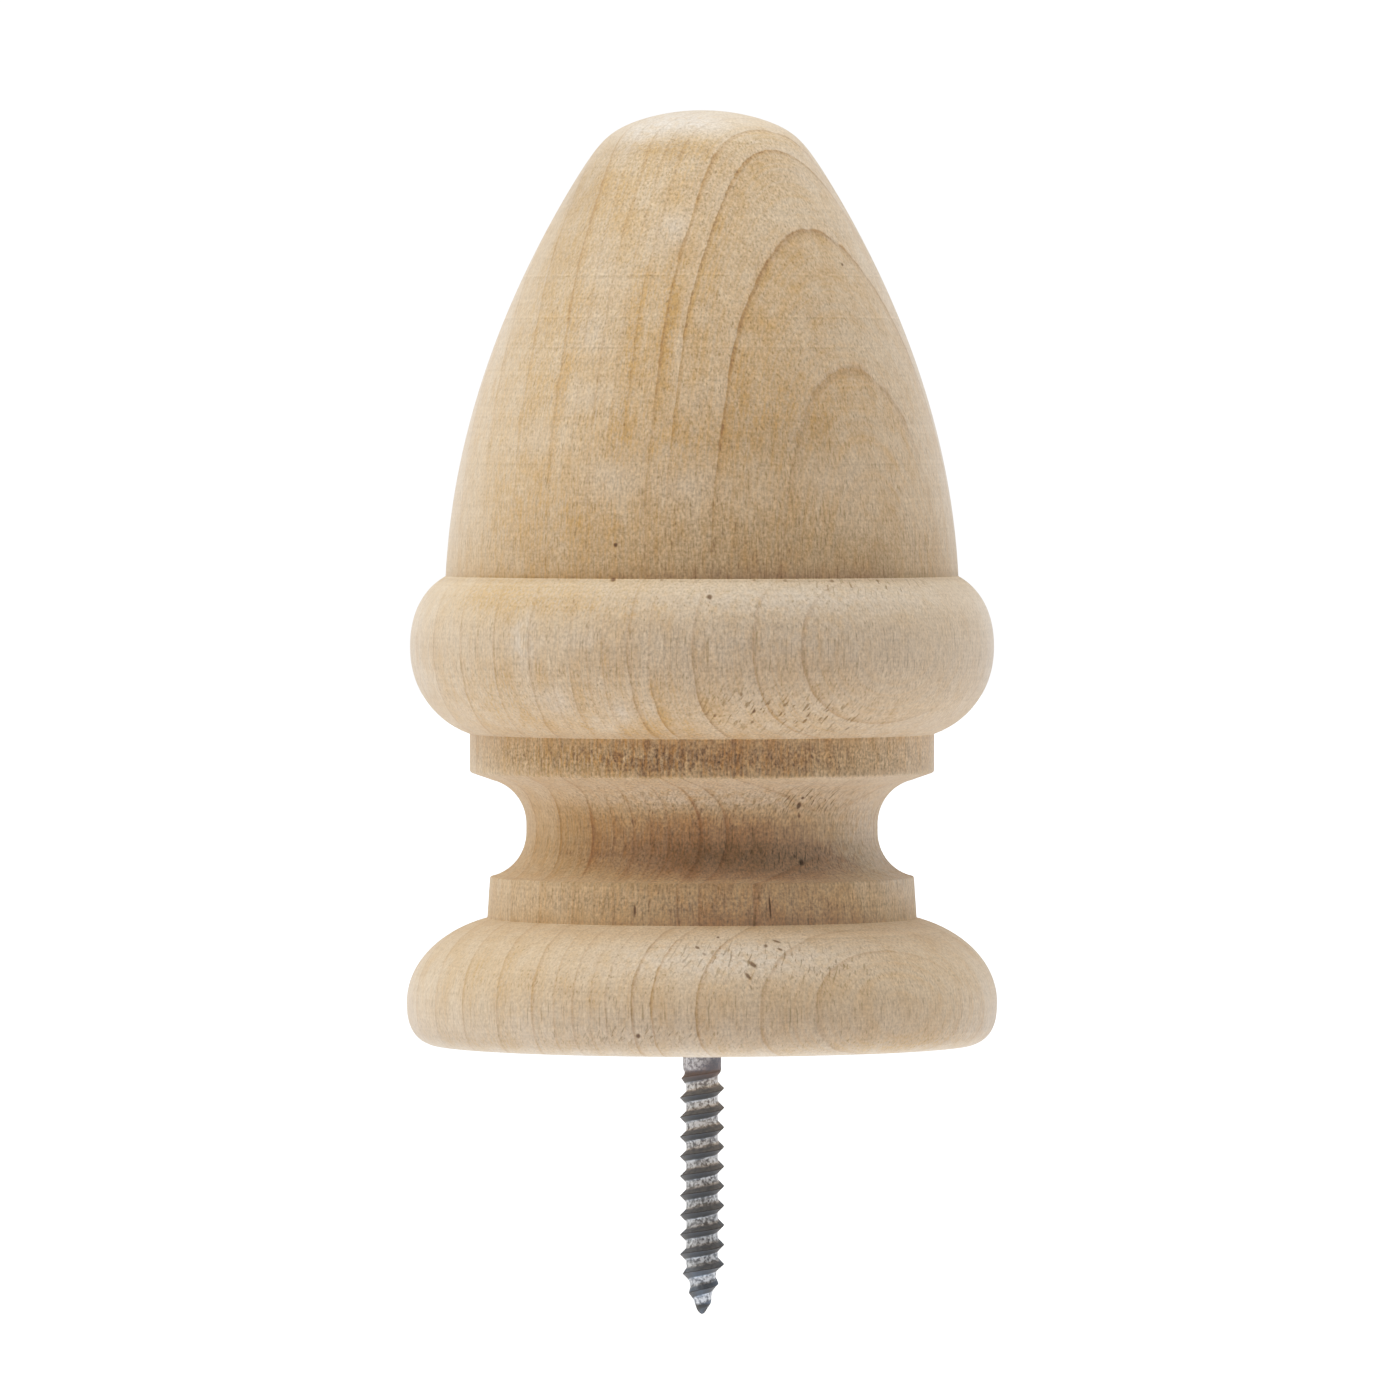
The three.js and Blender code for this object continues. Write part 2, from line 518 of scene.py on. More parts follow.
@dataclass(frozen=True)
class GrowthRings:
    """The growth rings of the block that the finial was turned from.

    They are circles about the tree's heart, which stood outside the block on the viewer's right. The heart
    leans and bends a little on its way up.

    Attributes:
        rings: The rings' dark edges, bark side first.
        facing_degrees: Where the heart lies, from the viewer's side towards the right.
        heart_distance: From the axis to the heart, at the seat.
        heart_lean: How the heart's distance changes with the height, its square and its cube.
        side_lean: How far to the side the heart moves with the height and its square.
        waviness: How far the rings wander.
        wave: How many millimetres up and across give the first wave one radian.
        cross_wave: The same for the second wave, which runs the other way.
        cross_share: How strong the second wave is beside the first.
        cross_start: Where in its swing the second wave starts, in radians.
    """

    # Each row is a ring: its depth and its darkness.
    rings: tuple[Ring, ...] = tuple(
        Ring(*row)
        for row in (
            (-54, 0.5), (-45.5, 0.6), (-38, 0.5), (-30.5, 0.6), (-24, 0.45), (-17.5, 0.5), (-10.5, 0.5),
            (-3.3, 0.5), (3.4, 0.6), (7, 0.3), (10.2, 0.45), (13, 0.35), (15.3, 0.4), (19.35, 0.85),
            (22.05, 0.85), (28.1, 1), (35.5, 0.7), (40.5, 0.75), (46.5, 0.4), (53, 0.4),
        )
    )
    facing_degrees: float = 41.2
    heart_distance: float = 124.5
    heart_lean: Triple = (-0.0708, 0.000853, -0.00000494)
    side_lean: Pair = (0.0917, -0.000683)
    waviness: float = 0.12
    wave: Pair = (6.0, 5.0)
    cross_wave: Pair = (11.0, 8.0)
    cross_share: float = 0.7
    cross_start: float = 1.3

    def depth(self, points: Array) -> Array:
        """Works out how deep in the block each point lies.

        The depth is the heart's distance from the axis at the seat, less the point's own distance from the
        heart, plus slow waves.

        Args:
            points: Points in millimetres.

        Returns:
            The depth of each point.
        """
        x, y, z = points.T
        facing = math.radians(self.facing_degrees)
        along = x * math.sin(facing) - y * math.cos(facing)
        across = x * math.cos(facing) + y * math.sin(facing)
        first, second, third = self.heart_lean
        heart_along = self.heart_distance + first * z + second * z**2 + third * z**3
        heart_across = self.side_lean[0] * z + self.side_lean[1] * z**2
        up, over = self.cross_wave
        waves = np.sin(z / self.wave[0] + across / self.wave[1])
        waves = waves + self.cross_share * np.sin(z / up - across / over + self.cross_start)
        distance = np.hypot(heart_along - along, heart_across - across)
        return self.heart_distance - distance + self.waviness * waves

    def maps(self, points: Array) -> dict[str, Array]:
        """Works out what the finish needs to draw the rings.

        Args:
            points: Points in millimetres.

        Returns:
            The depth, the growth, which grows by one from each dark edge to the next, the gap to the next
            edge in millimetres, and the darkness of the edges there.
        """
        depth = self.depth(points)
        edges = np.array([ring.depth for ring in self.rings])
        gaps = np.append(np.diff(edges), edges[-1] - edges[-2])
        return {
            "depth": depth,
            "growth": np.interp(depth, edges, np.arange(len(edges))),
            "ring_gap": np.interp(depth, edges, gaps),
            "edge_darkness": np.interp(depth, edges, [ring.darkness for ring in self.rings]),
        }


@dataclass(frozen=True)
class Patch:
    """A soft stain, a worn place, or a patch of painted shade or painted light on the turned surface.

    Attributes:
        angle: Where its middle is, in degrees from the viewer's side towards the right.
        height: The height of its middle above the seat.
        half_width: How far it reaches to the side, in millimetres.
        half_height: How far it reaches up and down.
        amount: How strong it is in the middle.
    """

    angle: float
    height: float
    half_width: float
    half_height: float
    amount: float

    def map(self, points: Array) -> Array:
        """Falls off as exp(-d squared), where d is the distance in shares of the two half sizes.

        Args:
            points: Points in millimetres.

        Returns:
            The patch's strength at each point.
        """
        x, y, z = points.T
        turn = np.arctan2(x, -y) - math.radians(self.angle)
        turn = (turn + math.pi) % (2.0 * math.pi) - math.pi
        side = turn * np.hypot(x, y) / self.half_width
        rise = (z - self.height) / self.half_height
        return self.amount * np.exp(-side * side - rise * rise)


def patch_map(points: Array, patches: tuple[Patch, ...]) -> Array:
    """Returns the total strength of some patches at each point."""
    return np.sum([patch.map(points) for patch in patches], axis=0)


# Each row is a patch: angle, height, half width, half height and amount. Honey is yellow stain.
# Worn is rubbed pale, and painted light on the cove's upper side and right edge and on the lower band.
# Shade is painted shade in the crease at the nut's foot, in the cove, under the cup, at the seat's rim and
# at the nut's sides, with some dirt, and it darkens the nut towards its foot. Torn is torn grain, chatter is
# the tool's, and fuzzy is how strongly the fibres show. Where faded is high, the rings hardly show.
PATCHES: dict[str, tuple[Patch, ...]] = {
    name: tuple(Patch(*row) for row in group)
    for name, group in {
        "honey": (
            (-9.8, 108.5, 1.3, 8, 0.56), (-19.1, 103.3, 1, 7, 0.38), (-20, 88.8, 1.6, 8, 0.3),
            (-19.8, 112.6, 2, 5, 0.22), (-50, 127, 5, 4, 0.26), (-9.6, 130.4, 2.5, 5, 0.26),
            (17.3, 93.6, 12, 5, 0.22), (-7.1, 88.8, 7, 5, 0.26), (-38, 100, 1.5, 16, 0.26),
            (-33, 122, 2.5, 9, 0.12), (-28, 76, 9, 7, 0.34), (-50, 78, 8, 10, 0.26), (-20, 66, 28, 3, 0.3),
            (-15, 34, 20, 6, 0.3), (-48, 104, 20, 24, 0.3), (30, 95, 14, 16, 0.12), (-10, 43.2, 24, 3, 0.7),
            (-5, 22, 20, 3, 0.45), (-33, 56.1, 0.9, 3, 0.5), (-42.3, 55.3, 0.9, 3, 0.35),
            (-27.2, 64.7, 1, 1.6, 0.4), (-14.7, 64.2, 1, 1.8, 0.4), (-19.1, 58, 0.9, 3.5, 0.4),
            (-8.2, 49.6, 1, 1.8, 0.5), (-9.7, 53.5, 0.9, 2, 0.35), (-26.1, 47.9, 1, 1.4, 0.5),
            (-18.3, 47.5, 1, 1.2, 0.5), (-12, 48, 1.2, 1.4, 0.4), (-2.6, 48.5, 0.9, 1.5, 0.35),
            (-40.6, 63.5, 0.9, 3, 0.3), (-27.3, 65.8, 10, 1, 0.3), (-50, 1.4, 30, 1.6, 0.4),
            (55, 1.4, 30, 1.6, 0.45), (170, 1.4, 60, 1.6, 0.4), (-50, 49, 16, 3, 0.3),
            (-46, 67.2, 14, 2.2, 0.5), (-47.7, 54, 1.6, 6, 0.4), (-40, 53, 2.2, 5, 0.26),
            (-62, 55, 2.4, 6, 0.2), (-25.1, 55, 1, 5, 0.35), (-62, 9, 1.8, 6, 0.3), (-50, 10, 2.2, 6, 0.3),
            (-43, 10, 1.2, 6, 0.5), (-36, 10, 1.6, 6, 0.4), (-28, 10, 1.2, 7, 0.4), (-21, 10, 1, 6, 0.4),
            (-28, 133.6, 9, 1.6, 0.4),
        ),
        # Rubbed pale places, and painted light on the cove's upper side and right edge and on the lower band.
        "worn_and_painted_light": (
            (-11.1, 121.7, 2.2, 2, 0.56), (-11.7, 119, 3.4, 2.4, 0.38), (-33.4, 106.3, 2.6, 3.6, 0.52),
            (-28.2, 103.8, 2.4, 2, 0.34), (-31.6, 96.5, 4, 2.6, 0.45), (-22.6, 83.9, 4.4, 2.8, 0.49),
            (-3.8, 83.4, 5.6, 2.8, 0.41), (-42.7, 90.2, 5, 2.6, 0.38), (-35.7, 115.6, 2.6, 5, 0.38),
            (-26.3, 112.1, 2.4, 2.4, 0.38), (-46.6, 133.4, 3, 2.4, 0.45), (51, 129.5, 3, 1.6, 0.38),
            (32.1, 83.9, 6, 3.6, 0.3), (2.8, 126.8, 3, 3, 0.22), (-0.8, 96, 2.6, 2.4, 0.22),
            (-25, 138, 12, 3.2, 0.6), (50, 60, 26, 7, 0.26), (24, 61, 18, 4, 0.4), (-8, 61, 20, 5, 0.45),
            (-37, 61, 3, 4, 0.3), (-31, 52.5, 3, 2, 0.3), (-17, 50.6, 2.4, 1.6, 0.3), (8, 15, 20, 3, 0.5),
            (-25, 10, 16, 7, 0.3), (2, 37.3, 24, 2.4, 0.85), (20, 67, 30, 2.6, 0.7), (-37, 59.5, 2, 4, 0.3),
            (-31.1, 51.4, 2.4, 2, 0.3), (-16.9, 50, 1.4, 1.5, 0.3), (-23.7, 60.6, 3, 2, 0.25),
            (-8, 22, 22, 3, 0.45), (55, 33, 14, 6, 0.4), (60, 29, 14, 4, 0.5), (-12, 4, 36, 3, 0.35),
            (10, 14, 20, 3, 0.45), (8, 8.5, 20, 5, 0.25), (-38, 136, 5, 2.2, 0.6), (-48, 61, 14, 3.5, 0.35),
            (-45, 6, 14, 4, 0.2), (-2, 136.4, 4, 1.3, 0.5), (70, 26, 10, 5, 0.6), (72, 33, 8, 6, 0.5),
        ),
        # Painted shade in the crease, the cove, under the cup, at the seat's rim and at the nut's sides, with
        # some dirt.
        "shade": (
            (25, 72, 60, 7, 0.2), (-3, 28.4, 26, 3.6, 0.24), (20, 90, 14, 5, 0.1), (0, 69.9, 200, 0.8, 0.14),
            (-6, 43.3, 34, 2.8, 0.16), (-60, 120, 10, 14, 0.2), (-70, 129, 7, 6, 0.2),
            (62, 104, 12, 24, 0.08), (0, 1.4, 200, 1.4, 0.1), (-62, 1.6, 16, 1.6, 0.12),
            (-60, 43.3, 14, 3, 0.1), (-45, 33, 10, 5, 0.1), (-14, 134.4, 2, 3, 0.14),
            (-36, 133, 7, 1.2, 0.12),
        ),
        "torn": (
            (5, 51.5, 8, 3.4, 0.3), (18, 50.2, 9, 2.6, 0.4), (31, 49.2, 10, 2.4, 0.42),
            (3, 14.6, 12, 3, 0.36), (26, 13, 12, 3, 0.4), (-12, 3.4, 10, 1.4, 0.45), (38, 37.4, 9, 2.4, 0.7),
            (30, 28.5, 12, 2, 0.6), (40, 68.5, 14, 1.2, 0.6), (-15, 36.5, 20, 2.2, 0.25),
            (150, 50, 14, 3, 0.45), (-120, 13, 14, 3, 0.35),
        ),
        "chatter": (
            (-16, 43, 13, 2.4, 1), (-45, 43.2, 7, 2.6, 0.5), (-8, 60.5, 9, 1.6, 0.2),
        ),
        "fuzzy": (
            (-5, 95, 22, 26, 0.45), (0, 74, 40, 5, 0.4), (-5, 33, 22, 8, 0.7), (0, 43.3, 60, 2.8, 1.7),
            (0, 22, 60, 3, 0.7), (-10, 130, 30, 12, 0.5), (-15, 58, 30, 9, 0.25), (-48, 104, 14, 30, 0.2),
        ),
        "faded": (
            (-4, 61, 11, 7, 0.65), (42, 33, 16, 9, 0.9), (66, 58, 18, 14, 0.95), (64, 10, 18, 12, 0.95),
            (16, 6, 16, 8, 0.45), (5, 43, 12, 3, 0.4), (40, 43, 16, 3, 0.8),
        ),
    }.items()
}


@dataclass(frozen=True)
class Mark:
    """A small dark speck, pit or knot fleck on the turned surface, or a dab of painted shade in the crease.

    Attributes:
        angle: Where it is, in degrees from the viewer's side towards the right.
        height: Its height above the seat.
        size: How far it reaches, in millimetres.
        tall: How many times as far it reaches along its length.
        lean: How far its length leans to the right of upright, in degrees.
        dark: How dark it is, 0 to 1.
    """

    angle: float
    height: float
    size: float
    tall: float = 1.0
    lean: float = 0.0
    dark: float = 0.75

    def place(self, radius: float) -> Triple:
        """Returns its middle in millimetres, on a surface of the given radius."""
        turn = math.radians(self.angle)
        return (radius * math.sin(turn), -radius * math.cos(turn), self.height)


@dataclass(frozen=True)
class BareWoodFinish:
    """Bare, lightly sanded softwood, with its rings, fibres, fuzz, stains, turning lines and torn grain, and
    with some painted shade and painted light.

    The numbers named step are the low and high of a noise or a distance, and the results there if they aren't
    0 and 1. Those named sway are how far a noise moves a value either way. Lengths are in millimetres.
    """

    pale: Colour = linear(220, 196, 168)
    honey: Colour = linear(202, 166, 123)
    # Rubbed pale, also the colour of the painted light on the cove and the lower band.
    worn_and_painted_light: Colour = linear(226, 210, 192)
    late_wood: Colour = linear(152, 112, 76)
    # Brown of the pores and torn grain, and of the painted shade.
    dirt_and_painted_shade: Colour = linear(108, 85, 48)
    # Dark brown of the specks, also of the painted shade in the crease at the nut's foot.
    speck_and_crease_shade: Colour = linear(84, 60, 36)
    roughness: float = 0.78
    gloss: float = 0.35
    sheen: float = 0.36
    sheen_roughness: float = 0.5
    relief_strength: float = 0.7
    relief_metres: float = 0.00007
    tear_relief: float = 2.0
    fibre: Noise = Noise((3.0, 3.0, 0.6), 2.0, 0.6)
    fuzz: Noise = Noise((2.7, 2.7, 2.3), 2.0, 0.6)
    blotch: Noise = Noise((0.30, 0.30, 0.16), 2.0, 0.55)
    mottle: Noise = Noise((0.9, 0.9, 0.6), 2.0, 0.6)
    streak: Noise = Noise((2.6, 1.0, 0.06), 2.0, 0.6)
    pore: Noise = Noise((4.2, 4.2, 0.22), 0.0)
    tear: Noise = Noise((2.3, 1.0, 0.62), 1.0)
    chatter: Noise = Noise((1.25, 1.0, 0.35), 1.0)
    turning: Noise = Noise((0.03, 0.03, 2.6), 1.0)
    pore_step: Numbers = (0.64, 0.8, 0.0, 0.3)
    tear_step: Numbers = (0.575, 0.65)
    tear_lean: float = 32.0
    wander_sway: float = 0.14
    fray_sway: float = 0.025
    fading_step: Numbers = (0.3, 0.6, 0.7, 1.0)
    edge_ahead: float = 0.16
    edge_past: float = 0.6
    edge_strength: float = 0.6
    tail_length: float = 6.0
    tail_stain: float = 0.55
    blotch_stain: Pair = (-0.1, 0.4)
    mottle_sway: float = 0.2
    streak_sway: float = 0.3
    honey_fibre: Pair = (-0.3, 1.7)
    worn_step: Numbers = (0.3, 0.6, 0.35, 1.0)
    fibre_gain_sway: float = 0.13
    fuzz_gain_sway: float = 0.18
    turning_gain: Pair = (0.955, 1.045)
    streak_gain_sway: float = 0.055
    chatter_light_step: Numbers = (0.5, 0.6)
    chatter_dark_step: Numbers = (0.52, 0.42, 0.0, 0.16)
    line_step: Numbers = (0.35, 0.6)
    line_width: float = 0.2
    line_offset: float = 0.3
    # Each row is a turning line, painted shade under a painted highlight: its height and its depth of tone.
    turning_lines: tuple[Pair, ...] = (
        (114.0, 0.13), (107.8, 0.12), (103.4, 0.1), (93.3, 0.07), (86.3, 0.06), (69.3, 0.1), (68.4, 0.08),
        (16.9, 0.07),
    )
    mark_depth: float = 0.7
    mark_core: float = 0.3
    # Each row is a mark: angle, height, size, and where they aren't the usual ones, tall, lean and dark.
    # The flat marks at about 69.4 mm are painted shade in the crease at the nut's foot.
    marks: tuple[Mark, ...] = tuple(
        Mark(*row)
        for row in (
            (-19.5, 74.6, 0.45), (-19.7, 69.5, 0.55), (1.5, 67.1, 0.6), (31.7, 36.2, 0.5, 1.8, 10),
            (32.6, 34.7, 0.24, 3, -8, 0.5), (32.3, 27.8, 0.6, 1.5, 15), (30.4, 28.7, 0.3, 1.6, -10, 0.5),
            (-12.3, 3.2, 0.5), (53.1, 115.8, 0.35), (32, 37.3, 0.35), (18.2, 21.6, 0.2, 14, -4),
            (-18, 21, 0.22, 6), (3.7, 17.3, 0.34), (-1, 15.9, 0.34, 2.4, -40, 0.7),
            (0.5, 15, 0.3, 2.2, -50, 0.45), (17, 16.7, 0.32, 5, -58, 0.7), (14.1, 16.1, 0.46, 1, 0, 0.6),
            (17, 15.6, 0.3, 2.4, -60, 0.7), (10.4, 13.5, 0.48, 2.8, -45, 0.7),
            (9.1, 11.9, 0.38, 3.2, -35, 0.7), (9.5, 10.3, 0.25, 3, -25, 0.4),
            (10.8, 48.8, 0.36, 1.6, 30, 0.55), (10.8, 50.4, 0.3, 2, 25, 0.5), (7.8, 52.9, 0.28, 2.2, 15, 0.5),
            (22.8, 49.7, 0.28, 2.4, 35, 0.5), (25.9, 49.2, 0.28, 2.6, 35, 0.5),
            (34.4, 47.7, 0.3, 2.6, 40, 0.5), (2.7, 49.8, 0.34, 1.6, 20, 0.45), (-8.7, 69.5, 0.4, 0.6, 0, 0.5),
            (11.4, 69.5, 0.4, 0.6, 0, 0.5), (18.3, 69.4, 0.45, 0.7, 0, 0.5), (29.3, 69.3, 0.5, 0.7, 0, 0.55),
            (41.5, 69.3, 0.45, 0.7, 0, 0.5), (-33, 69.5, 0.35, 0.6, 0, 0.4),
        )
    )

    def material(self, radius_at: Callable[[float], float]) -> bpy.types.Material:
        """Builds the material.

        Args:
            radius_at: Gives the turned surface's radius at a height.

        Returns:
            The finished material.
        """
        material, sheet, shader = new_finish("bare_softwood")
        recipe = WoodRecipe(self, sheet)
        sheet.feed(shader.inputs["Base Color"], recipe.colour(radius_at))
        set_plain(shader, {"Roughness": self.roughness, "Specular IOR Level": self.gloss})
        set_plain(shader, {"Sheen Weight": self.sheen, "Sheen Roughness": self.sheen_roughness})
        relief = sheet.less(recipe.fuzz, sheet.times(recipe.torn, self.tear_relief))
        sheet.bump(shader, relief, self.relief_strength, self.relief_metres)
        return material


class WoodRecipe:
    """The nodes of the bare wood. Each share that a method returns runs from 0 to 1."""

    def __init__(self, look: BareWoodFinish, sheet: ShaderSheet) -> None:
        """Adds the place, its height, the noises that several methods read, and the torn grain.

        Args:
            look: The finish's numbers.
            sheet: Where the nodes go.
        """
        self.look = look
        self.sheet = sheet
        self.place = sheet.millimetres()
        self.height = sheet.height_of(self.place)
        shared = (look.fibre, look.fuzz, look.blotch, look.mottle)
        self.fibre, self.fuzz, self.blotch, self.mottle = (sheet.noise(self.place, noise) for noise in shared)
        self.streak = sheet.noise(self.rolled_out("depth"), look.streak)
        strokes = sheet.noise(sheet.leaned(self.rolled_out("way_round"), look.tear_lean), look.tear)
        self.torn = sheet.times(sheet.step(strokes, *look.tear_step), sheet.attribute("torn"))

    def rolled_out(self, name: str) -> Socket:
        """Returns a flat place: one of the stored numbers across, and the height up."""
        return self.sheet.flat_place(self.sheet.attribute(name), self.height)

    def colour(self, radius_at: Callable[[float], float]) -> Socket:
        """Lays the rings, the grain, the dirt and painted shade, and the marks over the ground colour.

        Args:
            radius_at: Gives the turned surface's radius at a height.

        Returns:
            The colour.
        """
        look, sheet = self.look, self.sheet
        edge, tail = self.ring_shade()
        colour = self.grain(sheet.mix(edge, self.ground(tail), look.late_wood))
        pores = sheet.step(sheet.noise(self.place, look.pore), *look.pore_step)
        colour = sheet.mix(sheet.math("MAXIMUM", pores, self.torn), colour, look.dirt_and_painted_shade)
        # The shade map is painted shade in the crease, the cove, under the cup, at the rim and the sides,
        # with some dirt.
        colour = sheet.mix(sheet.attribute("shade"), colour, look.dirt_and_painted_shade)
        return sheet.mix(self.specks_and_crease_shade(radius_at), colour, look.speck_and_crease_shade)

    def ring_shade(self) -> tuple[Socket, Socket]:
        """Shades each ring: dark at its bark-side edge, then fading towards the heart.

        The blotches bend the edge and let it come and go, and the mottle frays it.

        Returns:
            The thin dark edge and the broad soft tail, each as a share.
        """
        look, sheet = self.look, self.sheet
        gap = sheet.attribute("ring_gap")
        bend = sheet.sway(self.blotch, look.wander_sway)
        wander = sheet.math("DIVIDE", sheet.plus(bend, sheet.sway(self.mottle, look.fray_sway)), gap)
        share = sheet.math("FRACT", sheet.plus(sheet.attribute("growth"), wander))
        past = sheet.times(share, gap)
        ahead = sheet.less(gap, past)
        darkness = sheet.times(sheet.attribute("edge_darkness"), sheet.step(self.blotch, *look.fading_step))
        before = sheet.step(ahead, look.edge_ahead, 0.0)
        line = sheet.math("MAXIMUM", before, sheet.step(past, look.edge_past, 0.0))
        edge = sheet.times(sheet.times(line, darkness), look.edge_strength)
        return edge, sheet.times(sheet.step(past, look.tail_length, 0.0), darkness)

    def ground(self, tail: Socket) -> Socket:
        """Mixes the wood's ground colour: pale, with honey stains, and worn places that are partly painted
        light.

        Args:
            tail: The soft part of each ring's dark side.

        Returns:
            The ground colour.
        """
        look, sheet = self.look, self.sheet
        stain = sheet.plus(
            sheet.span(self.blotch, *look.blotch_stain),
            sheet.sway(self.mottle, look.mottle_sway),
            sheet.sway(self.streak, look.streak_sway),
            sheet.times(sheet.attribute("honey"), sheet.span(self.fibre, *look.honey_fibre)),
        )
        stain = sheet.math("ADD", stain, sheet.times(tail, look.tail_stain), clamp=True)
        patchy = sheet.step(self.mottle, *look.worn_step)
        # Worn places, partly painted light on the cove and the lower band.
        worn_and_painted_light_share = sheet.math("MULTIPLY", sheet.attribute("worn_and_painted_light"), patchy, clamp=True)
        return sheet.mix(worn_and_painted_light_share, sheet.mix(stain, look.pale, look.honey), look.worn_and_painted_light)

    def grain(self, colour: Socket) -> Socket:
        """Lays the fine light and dark of fibres, fuzz, streaks and chatter over a colour, and each turning
        line as painted shade with a painted highlight just above it.

        Args:
            colour: The colour so far.

        Returns:
            The colour with its grain.
        """
        look, sheet = self.look, self.sheet
        fibres = sheet.sway(self.fibre, look.fibre_gain_sway)
        fine = sheet.plus(fibres, sheet.sway(self.fuzz, look.fuzz_gain_sway))
        gain = sheet.plus(
            sheet.times(fine, sheet.attribute("fuzzy")),
            sheet.span(sheet.noise(self.place, look.turning), *look.turning_gain),
            sheet.sway(self.streak, look.streak_gain_sway),
        )
        chatter = sheet.noise(self.rolled_out("way_round"), look.chatter)
        rough = sheet.attribute("chatter")
        light = sheet.times(sheet.step(chatter, *look.chatter_light_step), rough)
        colour = sheet.mix(light, colour, look.pale)
        gain = sheet.less(gain, sheet.times(sheet.step(chatter, *look.chatter_dark_step), rough))
        patchy = sheet.step(self.mottle, *look.line_step)
        # Each turning line is a painted shade in its groove under a painted highlight on the ridge above it.
        for height, depth in look.turning_lines:
            above = sheet.less(self.height, height)
            painted_groove_shade, painted_ridge_highlight = (
                sheet.step(sheet.math("ABSOLUTE", away), look.line_width, 0.0, 0.0, depth)
                for away in (above, sheet.less(above, look.line_offset))
            )
            gain = sheet.plus(gain, sheet.times(sheet.less(painted_ridge_highlight, painted_groove_shade), patchy))
        return sheet.lit(colour, gain)

    def specks_and_crease_shade(self, radius_at: Callable[[float], float]) -> Socket:
        """Draws the small dark marks, among them the painted shade in the crease at the nut's foot.

        Args:
            radius_at: Gives the turned surface's radius at a height.

        Returns:
            How dark the marks are, as a share.
        """
        look, sheet, total = self.look, self.sheet, None
        for mark in look.marks:
            away = sheet.vector("SUBTRACT", self.place, mark.place(radius_at(mark.height)))
            squeezed = sheet.scaled(sheet.leaned(away, mark.lean), (1.0, look.mark_depth, 1.0 / mark.tall))
            distance = sheet.vector("LENGTH", squeezed, result="Value")
            dark = sheet.step(distance, mark.size, look.mark_core * mark.size, 0.0, mark.dark)
            total = dark if total is None else sheet.math("MAXIMUM", total, dark)
        return total


@dataclass(frozen=True)
class ZincFinish:
    """Dull galvanised steel: mottled zinc crystals on the core, and darker grey on the thread. The thread's
    lower flanks and the point are darker still, as painted shade.

    The numbers named step are the low and high of what they run over, and the results there if they aren't 0
    and 1.
    """

    bright: Colour = linear(238, 244, 252)
    dull: Colour = linear(148, 153, 161)
    thread: Colour = linear(122, 133, 148)
    # Painted shade on the thread's lower flanks and towards the point.
    underside_shade: Colour = linear(98, 97, 94)
    rust: Colour = linear(132, 114, 108)
    crystal: Noise = Noise((1.9, 1.9, 1.9), 4.0, 0.7)
    crystal_step: Numbers = (0.40, 0.60)
    thread_step: Numbers = (0.0, 0.45, 0.0, 0.9)
    underside_step: Numbers = (0.0, 0.3, 0.0, 0.9)
    metallic: float = 0.35
    roughness: float = 0.55
    relief_strength: float = 0.5
    relief_metres: float = 0.00008

    def material(self) -> bpy.types.Material:
        """Builds the material.

        Returns:
            The finished material.
        """
        material, sheet, shader = new_finish("galvanised_steel")
        crystal = sheet.noise(sheet.millimetres(), self.crystal)
        colour = sheet.mix(sheet.step(crystal, *self.crystal_step), self.dull, self.bright)
        # The underside tint is painted shade on the thread's lower flanks and towards the point.
        for name, numbers, tint in (
            ("thread", self.thread_step, self.thread),
            ("underside_shade", self.underside_step, self.underside_shade),
        ):
            colour = sheet.mix(sheet.step(sheet.attribute(name), *numbers), colour, tint)
        colour = sheet.mix(sheet.times(sheet.attribute("rust"), crystal), colour, self.rust)
        sheet.feed(shader.inputs["Base Color"], colour)
        set_plain(shader, {"Metallic": self.metallic, "Roughness": self.roughness})
        sheet.bump(shader, crystal, self.relief_strength, self.relief_metres)
        return material


